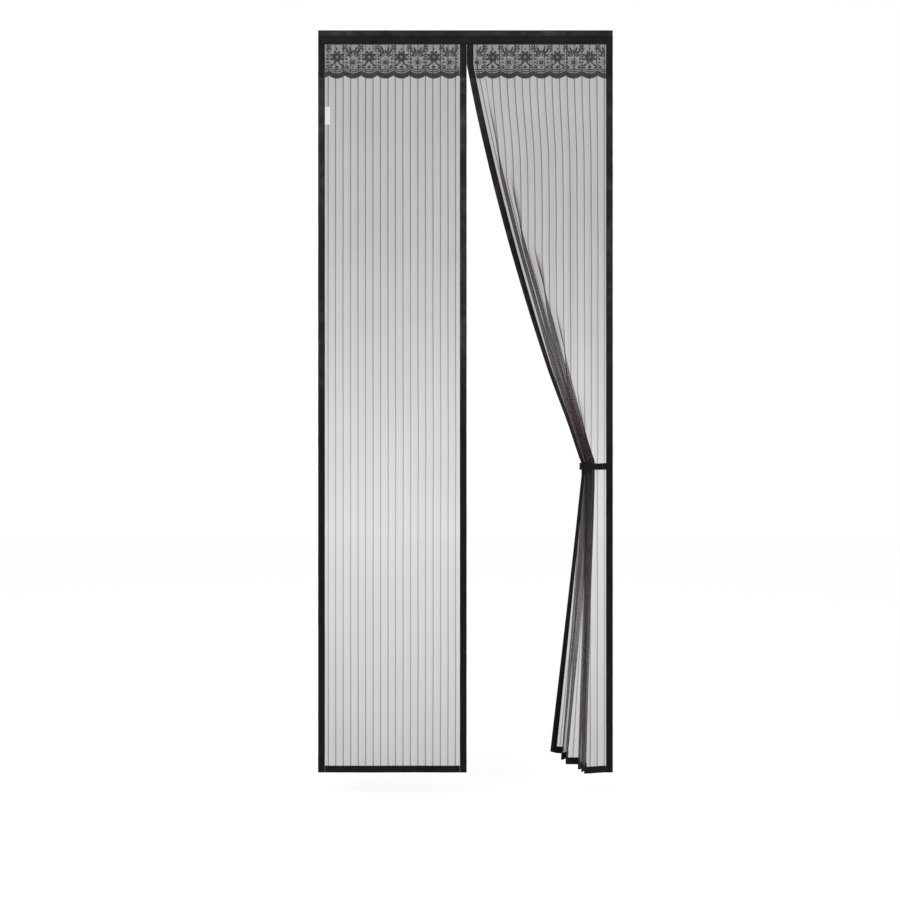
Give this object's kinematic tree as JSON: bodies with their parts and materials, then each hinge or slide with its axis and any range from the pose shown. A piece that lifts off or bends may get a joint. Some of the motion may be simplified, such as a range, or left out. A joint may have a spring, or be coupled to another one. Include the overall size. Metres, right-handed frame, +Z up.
{
  "type": "magnetic insect screen",
  "caption": "Doorway net screen of two panels on one header, the right panel drawn aside by a strap, with lace trim and magnets in the meeting edges.",
  "frame": {"origin": "middle of the back face of the top fastening strip, on the door frame's face", "axes": "+X to the right as seen from the front, +Y into the door frame, +Z up"},
  "size_m": [0.794, 0.0901, 2.0001],
  "materials": {
    "tape": "satin",
    "net": "matte",
    "lace": "matte",
    "hook": "matte",
    "loop": "matte",
    "label": "satin",
    "magnet": "satin"
  },
  "bodies": {
    "root": {"header_band": "tape", "header_facing": "tape", "label": "label", "left_hem_binding": "tape", "left_hook_strip": "hook", "left_lace": "lace", "left_loop_strip": "loop", "left_magnet_1": "magnet", "left_magnet_2": "magnet", "left_magnet_3": "magnet", "left_magnet_4": "magnet", "left_magnet_5": "magnet", "left_magnet_6": "magnet", "left_magnet_7": "magnet", "left_magnet_8": "magnet", "left_meeting_binding": "tape", "left_net": "net", "left_outer_binding": "tape", "right_hem_binding": "tape", "right_hook_strip": "hook", "right_lace": "lace", "right_leading_binding": "tape", "right_loop_strip": "loop", "right_magnet_1": "magnet", "right_magnet_2": "magnet", "right_magnet_3": "magnet", "right_magnet_4": "magnet", "right_magnet_5": "magnet", "right_magnet_6": "magnet", "right_magnet_7": "magnet", "right_magnet_8": "magnet", "right_net": "net", "right_outer_binding": "tape", "tie_strap": "tape", "top_hook_strip": "hook", "top_loop_strip": "loop"}
  },
  "joints": []
}
